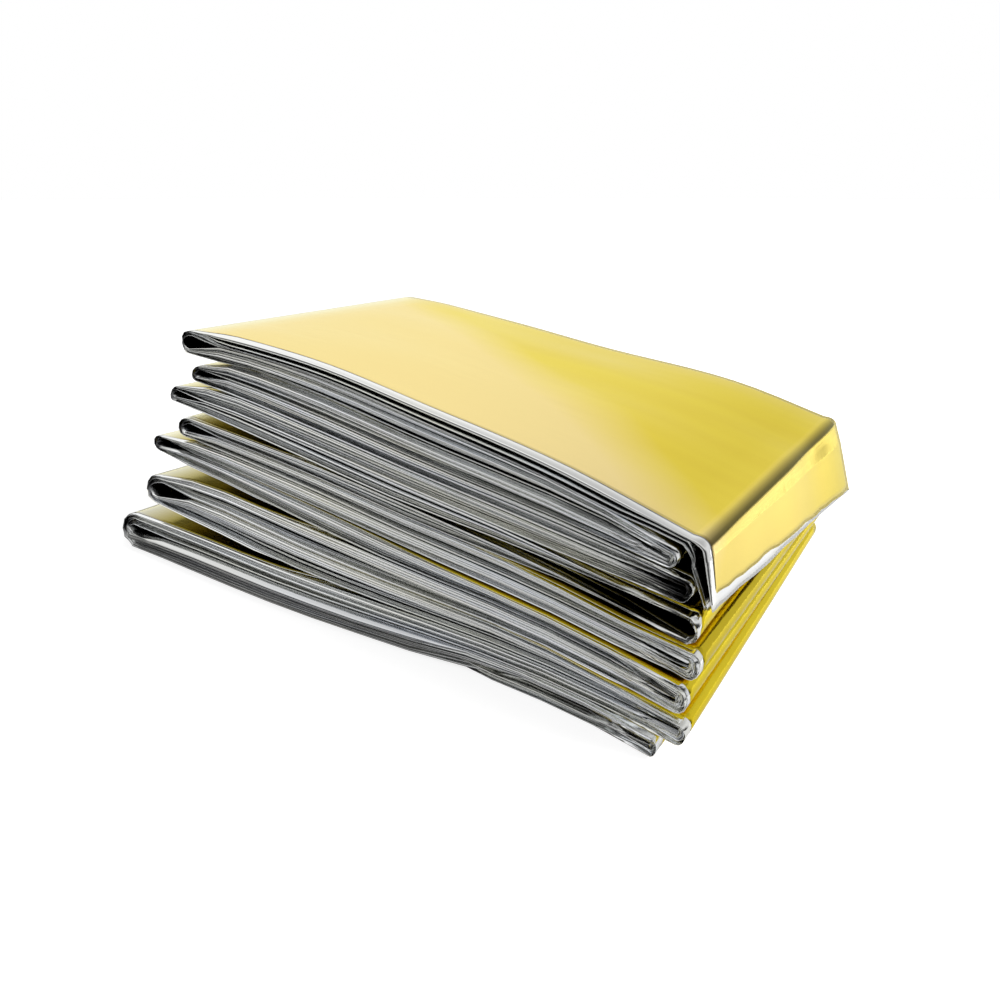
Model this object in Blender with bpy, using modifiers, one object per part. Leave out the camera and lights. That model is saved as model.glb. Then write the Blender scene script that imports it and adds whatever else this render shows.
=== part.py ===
"""Emergency foil blanket, folded ready for use.

One sheet of gold and silver metallised film. It is pleated lengthwise into a strip of
twenty layers, and the strip is folded to and fro into a stack of fifteen runs. The top
run carries on past the stack and hangs down over the right-hand end as a flap.

The strip is one solid that follows every run and every turn. X runs along the runs,
Y runs back from the pleated front edge, Z is up, and the stack rests on Z = 0.
"""

import math
from collections import namedtuple

import bmesh
import bpy

# ---------------------------------------------------------------- driving dimensions
SHEET_WIDTH = 1.600
PLEATS = 20
STRIP_WIDTH = SHEET_WIDTH / PLEATS
STRIP_THICKNESS = 0.0014

MM = 0.001

# The middle of the finished part's box in the coordinates of the tables below, in mm.
BOX_MIDDLE_X = -0.61
BOX_MIDDLE_Y = 0.0

# Distances from the front edge, as shares of the strip's width, at which the stack's
# profile is drawn.
STATIONS = (0.0, 0.25, 0.5, 0.75, 1.0)

# Steps along one run and around one turn.
RUN_STEPS = 8
TURN_STEPS = 6
# How far a turn reaches beyond the ends of its two runs, in half spacings of the runs.
TURN_REACH = 1.25
# A Bezier curve with level handles reaches this share of its handle's length.
BEZIER_REACH = 0.75

# Where the columns of heights below are taken, in mm along X.
HEIGHT_COLUMNS = (-45.0, -15.0, 15.0, 45.0)

# One row per run, top to bottom, in mm. The heights are those of the middle of the
# strip's thickness at the stack's front: at the left end, at the four columns above, and
# at the right end. The rises say how much higher each end sits at the stack's back.
Run = namedtuple("Run", "left_z z1 z2 z3 z4 right_z left_rise right_rise")
RUNS = (
    Run(52.1, 52.1, 50.3, 46.3, 41.8, 36.1, 0.3, 0.0),
    Run(48.1, 48.2, 45.8, 41.8, 37.9, 33.9, 0.1, 0.2),
    Run(44.6, 44.9, 42.3, 38.4, 35.0, 32.0, 0.2, 0.3),
    Run(42.4, 42.1, 39.5, 35.7, 32.3, 29.7, -0.2, 0.5),
    Run(39.0, 39.2, 36.3, 32.9, 29.8, 27.6, 0.1, 0.6),
    Run(36.9, 35.4, 33.0, 29.8, 27.0, 25.0, 0.0, 0.7),
    Run(32.6, 31.9, 30.0, 26.9, 24.2, 21.3, 0.4, 1.2),
    Run(29.3, 29.1, 27.3, 24.0, 21.4, 18.7, 0.2, 1.7),
    Run(27.0, 26.4, 24.2, 20.9, 18.2, 15.6, -0.2, 2.5),
    Run(24.6, 23.3, 20.9, 17.6, 15.1, 12.7, 0.2, 3.4),
    Run(17.7, 18.5, 16.4, 13.9, 12.0, 9.4, 0.8, 4.5),
    Run(12.2, 12.0, 10.5, 9.0, 8.0, 6.9, 0.5, 4.9),
    Run(7.2, 6.9, 6.2, 5.5, 5.2, 4.8, 0.4, 4.6),
    Run(1.4, 2.9, 3.1, 2.9, 2.8, 2.6, 0.0, 2.6),
    Run(0.7, 0.7, 0.7, 0.7, 0.7, 0.7, 0.0, 0.0),
)

# One row per turn, top to bottom: the side it is on, and how far out it reaches at the
# front and at the back, in mm.
Turn = namedtuple("Turn", "side reach_front reach_back")
TURNS = (
    Turn("left", -69.2, -68.4),
    Turn("right", 68.5, 68.9),
    Turn("left", -61.4, -62.6),
    Turn("right", 71.6, 70.8),
    Turn("left", -69.0, -66.2),
    Turn("right", 74.1, 72.8),
    Turn("left", -63.4, -65.0),
    Turn("right", 74.7, 73.8),
    Turn("left", -71.7, -69.2),
    Turn("right", 73.7, 73.4),
    Turn("left", -72.6, -68.0),
    Turn("right", 74.4, 73.1),
    Turn("left", -79.4, -74.4),
    Turn("right", 70.2, 68.6),
)

# The strip's free end at the bottom left, in mm.
TAIL_END_X = -50.0

# The back of the stack sags in its middle: how much at the top run, at which X, and how
# far to each side of it, in mm. Lower runs sag less, in proportion to their height.
BACK_SAG = 2.9
BACK_SAG_X = -9.0
BACK_SAG_REACH = 70.0

# Front edge of the stack: its Y at the stack's top and foot, in mm, one column for each
# X below. It runs askew, further back at the top left and further out at the foot left.
FRONT_COLUMNS = (-78.0, -20.0, 38.0, 72.0)
FRONT_TOP = (-28.7, -33.2, -37.7, -40.4)
FRONT_FOOT = (-50.6, -49.8, -44.6, -46.0)
STACK_TOP = (53.4, 50.0, 42.5, 36.8)

# The flap at the end of the top run, in mm and degrees: where the fold starts, its radius,
# how far it is drawn out along X, how far it turns, and the free edge's place at the
# front and at the back (its end is cut askew).
FLAP_FOLD_X = 69.6
FLAP_FOLD_RADIUS = 1.7
FLAP_FOLD_STRETCH = 1.6
FLAP_FOLD_TURN = 74.0
FLAP_EDGE_FRONT = (74.5, 26.6)
FLAP_EDGE_BACK = (77.6, 21.2)
FLAP_STEPS = 5
FOLD_STEPS = 5


def mix(a, b, share):
    """Return the value a given share of the way from a to b."""
    return a + (b - a) * share


def spline(xs, zs, x):
    """Return the height at x of a smooth curve through the points (xs, zs)."""
    last = len(xs) - 1
    slopes = []
    for i in range(last + 1):
        before = max(i - 1, 0)
        after = min(i + 1, last)
        slopes.append((zs[after] - zs[before]) / (xs[after] - xs[before]))
    i = 0
    while i < last - 1 and x > xs[i + 1]:
        i += 1
    span = xs[i + 1] - xs[i]
    t = (x - xs[i]) / span
    start = (2 * t ** 3 - 3 * t ** 2 + 1) * zs[i] + (t ** 3 - 2 * t ** 2 + t) * span * slopes[i]
    finish = (3 * t ** 2 - 2 * t ** 3) * zs[i + 1] + (t ** 3 - t ** 2) * span * slopes[i + 1]
    return start + finish


def turn_at(turn_index, share):
    """Return a turn's outermost X and how far inward its runs end, in mm."""
    turn = TURNS[turn_index]
    upper = RUNS[turn_index]
    lower = RUNS[turn_index + 1]
    if turn.side == "left":
        spacing = upper.left_z - lower.left_z
        inward = 1.0
    else:
        spacing = upper.right_z - lower.right_z
        inward = -1.0
    tip = mix(turn.reach_front, turn.reach_back, share)
    tip += inward * 0.5 * STRIP_THICKNESS / MM
    return tip, tip + inward * TURN_REACH * 0.5 * spacing


def run_ends(run, share):
    """Return the X of a run's left and right ends, where its turns begin, in mm."""
    left = TAIL_END_X
    right = FLAP_FOLD_X
    for turn_index in (run - 1, run):
        if 0 <= turn_index < len(TURNS):
            end = turn_at(turn_index, share)[1]
            if TURNS[turn_index].side == "left":
                left = end
            else:
                right = end
    return left, right


def run_height(run, share, x):
    """Return the height of a run's middle surface at x, in mm."""
    row = RUNS[run]
    left, right = run_ends(run, share)
    xs = (left,) + HEIGHT_COLUMNS + (right,)
    rise = mix(row.left_rise, row.right_rise, (x - left) / (right - left))
    hump = max(0.0, 1.0 - ((x - BACK_SAG_X) / BACK_SAG_REACH) ** 2) ** 2
    rise -= BACK_SAG * hump * row.z2 / RUNS[0].z2
    return spline(xs, row[:6], x) + share * rise


def turn_points(turn_index, share):
    """Return the points of a turn between its upper and its lower run, ends left out."""
    tip, start_x = turn_at(turn_index, share)
    handle = (tip - start_x) / BEZIER_REACH
    top = run_height(turn_index, share, start_x)
    foot = run_height(turn_index + 1, share, start_x)
    points = []
    for step in range(1, TURN_STEPS):
        t = 0.5 - 0.5 * math.cos(math.pi * step / TURN_STEPS)
        x = start_x + 3.0 * t * (1.0 - t) * handle
        z = mix(top, foot, 3.0 * t ** 2 - 2.0 * t ** 3)
        points.append((x, z))
    return points


def run_points(run, share, leftward):
    """Return the points along a run, both ends included, in the strip's own order."""
    left, right = run_ends(run, share)
    points = []
    for step in range(RUN_STEPS + 1):
        x = mix(left, right, step / RUN_STEPS)
        points.append((x, run_height(run, share, x)))
    if leftward:
        points.reverse()
    return points


def flap_points(share):
    """Return the flap's points from its free edge up to the top run, end left out."""
    top_z = run_height(0, share, FLAP_FOLD_X)
    edge_x = mix(FLAP_EDGE_FRONT[0], FLAP_EDGE_BACK[0], share)
    edge_z = mix(FLAP_EDGE_FRONT[1], FLAP_EDGE_BACK[1], share)
    fold = []
    for step in range(1, FOLD_STEPS + 1):
        angle = math.radians(FLAP_FOLD_TURN) * step / FOLD_STEPS
        x = FLAP_FOLD_X + FLAP_FOLD_RADIUS * FLAP_FOLD_STRETCH * math.sin(angle)
        z = top_z - FLAP_FOLD_RADIUS * (1.0 - math.cos(angle))
        fold.append((x, z))
    hinge_x, hinge_z = fold[-1]
    points = []
    for step in range(1, FLAP_STEPS + 1):
        t = step / FLAP_STEPS
        points.append((mix(hinge_x, edge_x, t), mix(hinge_z, edge_z, t)))
    whole = fold + points
    whole.reverse()
    return whole


def front_edge(x, z):
    """Return the Y of the front edge of the stack at (x, z), in mm."""
    foot = spline(FRONT_COLUMNS, FRONT_FOOT, x)
    top = spline(FRONT_COLUMNS, FRONT_TOP, x)
    return mix(foot, top, z / spline(FRONT_COLUMNS, STACK_TOP, x))


def strip_profile(share):
    """Return the strip's middle line from the flap's edge to the tail, in mm."""
    profile = flap_points(share)
    for run in range(len(RUNS)):
        profile += run_points(run, share, leftward=run % 2 == 0)
        if run < len(TURNS):
            profile += turn_points(run, share)
    return profile


def strip_surface():
    """Build the strip's middle surface from its profiles, front to back."""
    work = bmesh.new()
    rows = []
    for share in STATIONS:
        row = []
        for x, z in strip_profile(share):
            y = front_edge(x, z) + share * STRIP_WIDTH / MM
            place = ((x - BOX_MIDDLE_X) * MM, (y - BOX_MIDDLE_Y) * MM, z * MM)
            row.append(work.verts.new(place))
        rows.append(row)
    for near, far in zip(rows, rows[1:]):
        for i in range(len(near) - 1):
            work.faces.new((near[i], far[i], far[i + 1], near[i + 1]))
    for face in work.faces:
        face.smooth = True
    mesh = bpy.data.meshes.new("foil_blanket")
    work.to_mesh(mesh)
    work.free()
    return mesh


def film_material():
    """Return the gold side's material."""
    material = bpy.data.materials.new("gold_film")
    material.use_nodes = True
    shader = material.node_tree.nodes["Principled BSDF"]
    shader.inputs["Base Color"].default_value = (0.93, 0.72, 0.26, 1.0)
    shader.inputs["Metallic"].default_value = 1.0
    shader.inputs["Roughness"].default_value = 0.28
    return material


for leftover in list(bpy.data.objects):
    bpy.data.objects.remove(leftover, do_unlink=True)

blanket_collection = bpy.data.collections.new("emergency_foil_blanket")
bpy.context.scene.collection.children.link(blanket_collection)

foil_blanket = bpy.data.objects.new("foil_blanket", strip_surface())
foil_blanket.data.materials.append(film_material())
blanket_collection.objects.link(foil_blanket)

thickness = foil_blanket.modifiers.new("strip thickness", "SOLIDIFY")
thickness.thickness = STRIP_THICKNESS
thickness.offset = 0.0
thickness.use_even_offset = True
thickness.use_rim = True
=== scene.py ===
import math
from collections import namedtuple

import bpy
import numpy as np
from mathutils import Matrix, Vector


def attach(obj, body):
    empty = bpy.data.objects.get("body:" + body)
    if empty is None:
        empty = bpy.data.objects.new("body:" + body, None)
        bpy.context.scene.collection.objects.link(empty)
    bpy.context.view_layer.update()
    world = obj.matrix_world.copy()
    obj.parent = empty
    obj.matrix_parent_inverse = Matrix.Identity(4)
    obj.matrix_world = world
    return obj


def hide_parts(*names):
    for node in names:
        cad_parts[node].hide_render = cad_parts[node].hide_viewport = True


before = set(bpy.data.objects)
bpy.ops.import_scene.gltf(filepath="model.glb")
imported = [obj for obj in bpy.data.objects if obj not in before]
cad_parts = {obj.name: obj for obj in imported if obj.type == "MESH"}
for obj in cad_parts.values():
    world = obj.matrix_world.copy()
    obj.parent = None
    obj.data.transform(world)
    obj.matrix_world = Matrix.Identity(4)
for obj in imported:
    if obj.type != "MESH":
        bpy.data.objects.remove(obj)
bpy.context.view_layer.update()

# ---------------------------------------------------------------- the folded strip
# The sheet is pleated into a strip of PANELS layers, and the strip is folded to and fro.
# Sizes are in mm, but for the flat sheet's, which are in metres. Y and Z are those of the
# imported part, and its X is the X given here less BOX_MIDDLE_X.
MM = 0.001
BOX_MIDDLE_X = -0.61
SHEET_WIDTH = 1.6
PANELS = 20
LAST_PANEL = PANELS - 1
PANEL_WIDTH = SHEET_WIDTH / PANELS / MM
SOLID_THICKNESS = 1.4
SKIN = 0.5 * SOLID_THICKNESS
FILM_HALF_THICKNESS = 0.006
SEED = 160210

# How far a turn reaches beyond the ends of its runs, in half spacings of the runs: the left
# turns are pointed, the right ones blunt. TURN_BULGE is how much of the way to its control
# points a turn's curve bulges.
LEFT_TURN_REACH = 2.1
RIGHT_TURN_REACH = 0.85
TURN_BULGE = 0.75
# The pleats inside a turn's tip are thinner than beside it, by this factor.
TIP_WAIST = 0.92

# Heights of the middle of each run at the stack's front: at its left end, at the four
# columns and at its right end; then how much higher each end sits at the back.
HEIGHT_COLUMNS = (-45.0, -15.0, 15.0, 45.0)
Run = namedtuple("Run", "left_z z1 z2 z3 z4 right_z left_rise right_rise")
RUNS = (
    Run(52.1, 52.1, 50.3, 46.3, 41.8, 36.1, 0.3, 0.0),
    Run(48.1, 48.2, 45.8, 41.8, 37.9, 33.9, 0.1, 0.2),
    Run(44.6, 44.9, 42.3, 38.4, 35.0, 32.0, 0.2, 0.3),
    Run(42.4, 42.1, 39.5, 35.7, 32.3, 29.7, -0.2, 0.5),
    Run(39.0, 39.2, 36.3, 32.9, 29.8, 27.6, 0.1, 0.6),
    Run(36.9, 35.4, 33.0, 29.8, 27.0, 25.1, 0.0, 0.7),
    Run(32.6, 31.9, 30.0, 26.9, 24.2, 20.8, 0.4, 1.2),
    Run(29.3, 29.1, 27.3, 24.0, 21.4, 18.7, 0.2, 1.7),
    Run(27.0, 26.4, 24.2, 20.9, 18.2, 15.6, -0.2, 2.5),
    Run(24.6, 23.3, 20.9, 17.6, 15.1, 12.7, 0.2, 3.4),
    Run(17.7, 18.5, 16.4, 13.9, 12.0, 9.4, 0.8, 4.5),
    Run(12.2, 12.0, 10.5, 9.0, 8.0, 6.9, 0.5, 4.9),
    Run(7.2, 6.9, 6.2, 5.5, 5.2, 4.8, 0.4, 4.6),
    Run(1.4, 2.9, 3.1, 2.9, 2.8, 2.6, 0.0, 2.6),
    Run(0.7, 0.7, 0.7, 0.7, 0.7, 0.7, 0.0, 0.0),
)

# The side of each turn and the X that it reaches out to, at the front and at the back.
Turn = namedtuple("Turn", "side reach_front reach_back")
TURNS = (
    Turn("left", -69.2, -68.4),
    Turn("right", 68.5, 68.9),
    Turn("left", -61.4, -62.6),
    Turn("right", 71.6, 70.8),
    Turn("left", -69.0, -66.2),
    Turn("right", 74.1, 72.8),
    Turn("left", -63.4, -65.0),
    Turn("right", 74.7, 73.8),
    Turn("left", -71.7, -69.2),
    Turn("right", 73.7, 73.4),
    Turn("left", -72.6, -68.0),
    Turn("right", 74.4, 73.1),
    Turn("left", -79.4, -74.4),
    Turn("right", 70.2, 68.6),
)
TAIL_END_X = -50.0

# The back of the stack sags in its middle: by how much at the top run, where, and how far
# to each side.
BACK_SAG = 2.9
BACK_SAG_X = -9.0
BACK_SAG_REACH = 70.0

# The stack's front edge, one column for each X: its Y at the top and at the foot, and the
# height of the top.
FRONT_COLUMNS = (-78.0, -20.0, 38.0, 72.0)
FRONT_TOP = (-28.7, -33.2, -37.7, -40.4)
FRONT_FOOT = (-50.6, -49.8, -44.6, -46.0)
STACK_TOP = (53.4, 50.0, 42.5, 36.8)

# The flap hangs from the top run's right end: where its fold begins, the fold's radius and
# how far round it goes, and the flap's free edge at the front and at the back.
FLAP_FOLD_X = 69.6
FLAP_FOLD_RADIUS = 1.7
FLAP_FOLD_STRETCH = 1.6
FLAP_FOLD_TURN = math.radians(74.0)
Point = namedtuple("Point", "x z")
FLAP_EDGE_FRONT = Point(74.5, 26.6)
FLAP_EDGE_BACK = Point(77.6, 21.2)
# The fold's corners after its hinge on the flap, as an X and a drop below the top run. The
# first one is the sharp crease, and the film rounds over above it. FOLD_SPOTS says how many
# corners have been passed at each of the FOLD_SHARES of the fold.
FoldCorner = namedtuple("FoldCorner", "x drop")
FOLD_CORNERS = (
    FoldCorner(71.98, 0.62),
    FoldCorner(71.45, 0.22),
    FoldCorner(70.8, 0.05),
    FoldCorner(FLAP_FOLD_X, 0.0),
)
FOLD_SHARES = (0.0, 0.2, 0.3, 1.0)
FOLD_SPOTS = (0.0, 0.85, 1.15, 4.0)
# A second crease on the flap: how far below its hinge it lies, front and back, how much it
# bulges for each mm of that, and its place among the flap's stations, which go from 0 at
# the flap's free edge towards 1 at its hinge.
FLAP_CREASE_FRONT = 1.2
FLAP_CREASE_BACK = 3.8
FLAP_CREASE_BULGE = 0.05
FLAP_CREASE_T = 0.8
FLAP_TS = (0.0, 0.12, 0.27, 0.42, 0.57, 0.7, 0.77, FLAP_CREASE_T, 0.83, 0.92)
# How far the flap's pleats reach inward at its free edge and at its hinge, and how much
# further in its fold's corner.
FLAP_EDGE_INNER = 0.6
FLAP_HINGE_INNER = 2.3
FLAP_CORNER_INNER = 0.6

# How much of each gap between two runs the pleats fill at the front: at the left end, in
# the middle and at the right end, and over what length each end eases into the middle.
# The rest is air, and it closes towards the back.
Filling = namedtuple("Filling", "left left_run middle right right_run")
FILLINGS = (
    Filling(0.20, 17.0, 0.97, 1.10, 40.0),
    Filling(0.45, 10.0, 0.97, 0.85, 20.0),
    Filling(0.35, 10.0, 0.98, 0.90, 20.0),
    Filling(0.50, 10.0, 0.97, 0.35, 16.0),
    Filling(0.30, 10.0, 0.98, 0.80, 30.0),
    Filling(0.38, 90.0, 0.96, 0.20, 75.0),
    Filling(0.45, 10.0, 0.97, 0.35, 45.0),
    Filling(0.60, 12.0, 0.97, 0.95, 20.0),
    Filling(0.20, 13.0, 0.96, 0.66, 110.0),
    Filling(0.45, 85.0, 0.97, 0.95, 20.0),
    Filling(0.25, 15.0, 0.97, 0.85, 40.0),
    Filling(0.42, 90.0, 0.97, 0.95, 20.0),
    Filling(0.60, 10.0, 0.97, 0.95, 20.0),
    Filling(0.95, 30.0, 0.97, 0.95, 20.0),
)
# The left end of a gap that opens at the left (the others end at their turn's tip), the
# right end of every gap, and what the filling comes near to at the back, and how near.
LEFT_END_X = -70.0
RIGHT_END_X = 72.0
BACK_FILLING = 0.95
BACK_CLOSING = 0.75
# Over what length a run thickens from its turn's outer skin to its pleats' full reach.
TURN_EASING = 14.0

# The turn below the flap is drawn thin: the outer side of the turn and of the runs beside
# it (each with the gap on that side), its thickness and over what length it thickens.
THIN_TURN = 5
THIN_SIDES = ((THIN_TURN, THIN_TURN - 1), (THIN_TURN + 1, THIN_TURN + 1))
THIN_SKIN = 0.15
THIN_RUN = 40.0

# Steps of the stations along the strip.
FOLD_STEPS = 9
TOP_RUN_STEPS = 24
RUN_STEPS = 11
TURN_STEPS = 9
# How often the strip's directions are averaged where the panels inside the flap turn.
SOFTENING_PASSES = 12


def mix(a, b, share):
    """Return the value a given share of the way from a to b."""
    return a + (b - a) * share


def ease(share):
    """Return a share between 0 and 1 with soft ends."""
    share = np.clip(share, 0.0, 1.0)
    return share * share * (3.0 - 2.0 * share)


def spline(xs, zs, x):
    """Return the height at x of a smooth curve through the points (xs, zs)."""
    last = len(xs) - 1
    slopes = []
    for i in range(last + 1):
        before = max(i - 1, 0)
        after = min(i + 1, last)
        slopes.append((zs[after] - zs[before]) / (xs[after] - xs[before]))
    i = 0
    while i < last - 1 and x > xs[i + 1]:
        i += 1
    span = xs[i + 1] - xs[i]
    t = (x - xs[i]) / span
    start = (2 * t ** 3 - 3 * t ** 2 + 1) * zs[i] + (t ** 3 - 2 * t ** 2 + t) * span * slopes[i]
    finish = (3 * t ** 2 - 2 * t ** 3) * zs[i + 1] + (t ** 3 - t ** 2) * span * slopes[i + 1]
    return start + finish


# One station along the strip. Its place at one share of the strip's width is that of its
# middle, and how far the pleats reach on the first panel's side and on the last one's.
Station = namedtuple("Station", "part index t")
Place = namedtuple("Place", "x z first_side last_side")


def stations():
    """Return the stations along the strip, from the flap's free edge to the tail."""
    found = []
    for t in FLAP_TS:
        found.append(Station("flap", 0, t))
    for step in range(FOLD_STEPS):
        found.append(Station("fold", 0, step / FOLD_STEPS))
    for run in range(len(RUNS)):
        steps = TOP_RUN_STEPS if run == 0 else RUN_STEPS
        for step in range(steps + 1):
            found.append(Station("run", run, step / steps))
        if run < len(TURNS):
            for step in range(1, TURN_STEPS):
                found.append(Station("turn", run, step / TURN_STEPS))
    return found


def turn_at(turn_index, share):
    """Return a turn's outermost X and where its runs end, in mm."""
    turn = TURNS[turn_index]
    upper = RUNS[turn_index]
    lower = RUNS[turn_index + 1]
    if turn.side == "left":
        spacing = upper.left_z - lower.left_z
        inward = 1.0
        reach = LEFT_TURN_REACH
    else:
        spacing = upper.right_z - lower.right_z
        inward = -1.0
        reach = RIGHT_TURN_REACH
    tip = mix(turn.reach_front, turn.reach_back, share) + inward * SKIN
    return tip, tip + inward * reach * 0.5 * spacing


def run_ends(run, share):
    """Return the X of a run's left and right ends, where its turns begin."""
    left = TAIL_END_X
    right = FLAP_FOLD_X
    for turn_index in (run - 1, run):
        if 0 <= turn_index < len(TURNS):
            end = turn_at(turn_index, share)[1]
            if TURNS[turn_index].side == "left":
                left = end
            else:
                right = end
    return left, right


def run_height(run, share, x):
    """Return the height of a run's middle surface at x."""
    row = RUNS[run]
    left, right = run_ends(run, share)
    xs = (left,) + HEIGHT_COLUMNS + (right,)
    x = min(max(x, left), right)
    rise = mix(row.left_rise, row.right_rise, (x - left) / (right - left))
    hump = max(0.0, 1.0 - ((x - BACK_SAG_X) / BACK_SAG_REACH) ** 2) ** 2
    rise -= BACK_SAG * hump * row.z2 / RUNS[0].z2
    return spline(xs, row[:6], x) + share * rise


def half_gap(upper_run, share, x):
    """Return half the height between a run and the next one below it, at x."""
    return 0.5 * (run_height(upper_run, share, x) - run_height(upper_run + 1, share, x))


def filled(gap, share, x):
    """Return how much of a gap between two runs is filled at x."""
    row = FILLINGS[gap]
    left_end = LEFT_END_X if gap % 2 == 1 else turn_at(gap, share)[0]
    at_left = 1.0 - float(ease((x - left_end) / row.left_run))
    at_right = 1.0 - float(ease((RIGHT_END_X - x) / row.right_run))
    front = row.middle + (row.left - row.middle) * at_left + (row.right - row.middle) * at_right
    return mix(front, max(front, BACK_FILLING), BACK_CLOSING * share)


def thin_skin(share):
    """Return the outer side's thickness of the thin turn."""
    return mix(THIN_SKIN, SKIN, share)


def outer_reach(gap, share, x, from_end, run):
    """Return a run's reach into the gap that its own turn does not close."""
    reach = filled(gap, share, x) * half_gap(gap, share, x)
    if (run, gap) in THIN_SIDES:
        return mix(thin_skin(share), reach, float(ease(from_end / THIN_RUN)))
    return mix(SKIN, reach, float(ease(from_end / TURN_EASING)))


def run_place(run, share, t):
    """Return the place of a station on a run."""
    left, right = run_ends(run, share)
    leftward = run % 2 == 0
    x = mix(left, right, 1.0 - t if leftward else t)
    reaches = []
    for gap in (run - 1, run):
        if gap < 0 or gap >= len(TURNS):
            reaches.append(SKIN)
            continue
        closed_end = left if TURNS[gap].side == "left" else right
        open_end = right if TURNS[gap].side == "left" else left
        if abs(x - closed_end) < abs(x - open_end):
            reaches.append(filled(gap, share, x) * half_gap(gap, share, x))
        else:
            reaches.append(outer_reach(gap, share, x, abs(x - open_end), run))
    up, down = reaches
    if leftward:
        return Place(x, run_height(run, share, x), up, down)
    return Place(x, run_height(run, share, x), down, up)


def turn_place(turn_index, share, step_share):
    """Return the place of a station on a turn, on a cubic curve from run to run."""
    tip, start_x = turn_at(turn_index, share)
    handle = (tip - start_x) / TURN_BULGE
    top = run_height(turn_index, share, start_x)
    foot = run_height(turn_index + 1, share, start_x)
    t = 0.5 - 0.5 * math.cos(math.pi * step_share)
    x = start_x + 3.0 * t * (1.0 - t) * handle
    z = mix(top, foot, 3.0 * t ** 2 - 2.0 * t ** 3)
    inner = filled(turn_index, share, start_x) * 0.5 * (top - foot)
    inner *= mix(1.0, TIP_WAIST, math.sin(math.pi * step_share))
    if TURNS[turn_index].side == "left":
        return Place(x, z, SKIN, inner)
    return Place(x, z, inner, thin_skin(share) if turn_index == THIN_TURN else SKIN)


def flap_hinge(share):
    """Return where the flap's fold ends and its straight part begins."""
    top_z = run_height(0, share, FLAP_FOLD_X)
    x = FLAP_FOLD_X + FLAP_FOLD_RADIUS * FLAP_FOLD_STRETCH * math.sin(FLAP_FOLD_TURN)
    return x, top_z - FLAP_FOLD_RADIUS * (1.0 - math.cos(FLAP_FOLD_TURN))


def flap_place(share, t):
    """Return the place of a station on the flap, from its free edge to its hinge."""
    hinge_x, hinge_z = flap_hinge(share)
    edge_x = mix(FLAP_EDGE_FRONT.x, FLAP_EDGE_BACK.x, share)
    edge_z = mix(FLAP_EDGE_FRONT.z, FLAP_EDGE_BACK.z, share)
    drop = mix(FLAP_CREASE_FRONT, FLAP_CREASE_BACK, share)
    way = drop / math.hypot(edge_x - hinge_x, edge_z - hinge_z)
    crease_x = mix(hinge_x, edge_x, way) + FLAP_CREASE_BULGE * drop
    crease_z = mix(hinge_z, edge_z, way)
    inner = mix(FLAP_EDGE_INNER, FLAP_HINGE_INNER, t)
    if t < FLAP_CREASE_T:
        spot = t / FLAP_CREASE_T
        return Place(mix(edge_x, crease_x, spot), mix(edge_z, crease_z, spot), SKIN, inner)
    spot = (t - FLAP_CREASE_T) / (1.0 - FLAP_CREASE_T)
    return Place(mix(crease_x, hinge_x, spot), mix(crease_z, hinge_z, spot), SKIN, inner)


def fold_place(share, t):
    """Return the place of a station on the fold between the flap and the top run."""
    top_z = run_height(0, share, FLAP_FOLD_X)
    corners = [flap_hinge(share)]
    for row in FOLD_CORNERS:
        corners.append((row.x, top_z - row.drop))
    spot = np.interp(t, FOLD_SHARES, FOLD_SPOTS)
    passed = min(int(spot), len(corners) - 2)
    x = mix(corners[passed][0], corners[passed + 1][0], spot - passed)
    z = mix(corners[passed][1], corners[passed + 1][1], spot - passed)
    inner = mix(FLAP_HINGE_INNER, SKIN, t) + FLAP_CORNER_INNER * math.sin(math.pi * t)
    return Place(x, z, SKIN, inner)


def place_at(station, share):
    """Return a station's place at a share of the strip's width."""
    if station.part == "flap":
        return flap_place(share, station.t)
    if station.part == "fold":
        return fold_place(share, station.t)
    if station.part == "run":
        return run_place(station.index, share, station.t)
    return turn_place(station.index, share, station.t)


Strip = namedtuple("Strip", "line ends middle along slopes soft_slopes")


def folded_strip():
    """Return the strip's stations, with their places and directions at its two edges."""
    line = stations()
    ends = []
    for share in (0.0, 1.0):
        ends.append(np.array([place_at(station, share) for station in line]))
    middle = 0.5 * (ends[0] + ends[1])
    steps = np.hypot(np.diff(middle[:, 0]), np.diff(middle[:, 1]))
    along = np.concatenate(([0.0], np.cumsum(steps)))
    slopes = []
    for end in ends:
        slope = np.stack((np.gradient(end[:, 0]), np.gradient(end[:, 1])), axis=1)
        slopes.append(slope / np.linalg.norm(slope, axis=1, keepdims=True))
    soft_slopes = [softened(slope, line) for slope in slopes]
    return Strip(line, ends, middle, along, slopes, soft_slopes)


def first_run_station(line):
    """Return the number of the top run's first station."""
    return next(i for i, station in enumerate(line) if station.part == "run")


def softened(slope, line):
    """Return the strip's directions, without the sharp turns at the creases of the flap."""
    last = first_run_station(line) + 2
    soft = slope.copy()
    for _ in range(SOFTENING_PASSES):
        soft[1:last] = 0.25 * soft[:last - 1] + 0.5 * soft[1:last] + 0.25 * soft[2:last + 1]
    return soft / np.linalg.norm(soft, axis=1, keepdims=True)


# ---------------------------------------------------------------- marks along the strip
# The right turns above this one lie under the flap, and this one gapes.
FLAP_TURNS = 5
HOLLOW_TURN = 3
# The two creases between the top run and the flap.
CREASE_STATIONS = (Station("flap", 0, FLAP_CREASE_T), Station("fold", 0, 2.0 / FOLD_STEPS))
# A station of a turn is at its tip if its t is this close to the middle.
TIP_SHARE = 0.08

# The runs beside the gaps that stay open furthest, the X from where these are closed, that
# from where the others are, and over what length they close.
WEDGE_RUNS = (5, 6, 9, 10, 11, 12)
WEDGE_CLOSED_X = -25.0
GAP_CLOSED_X = -64.0
CLOSING_RUN = 25.0

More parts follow.
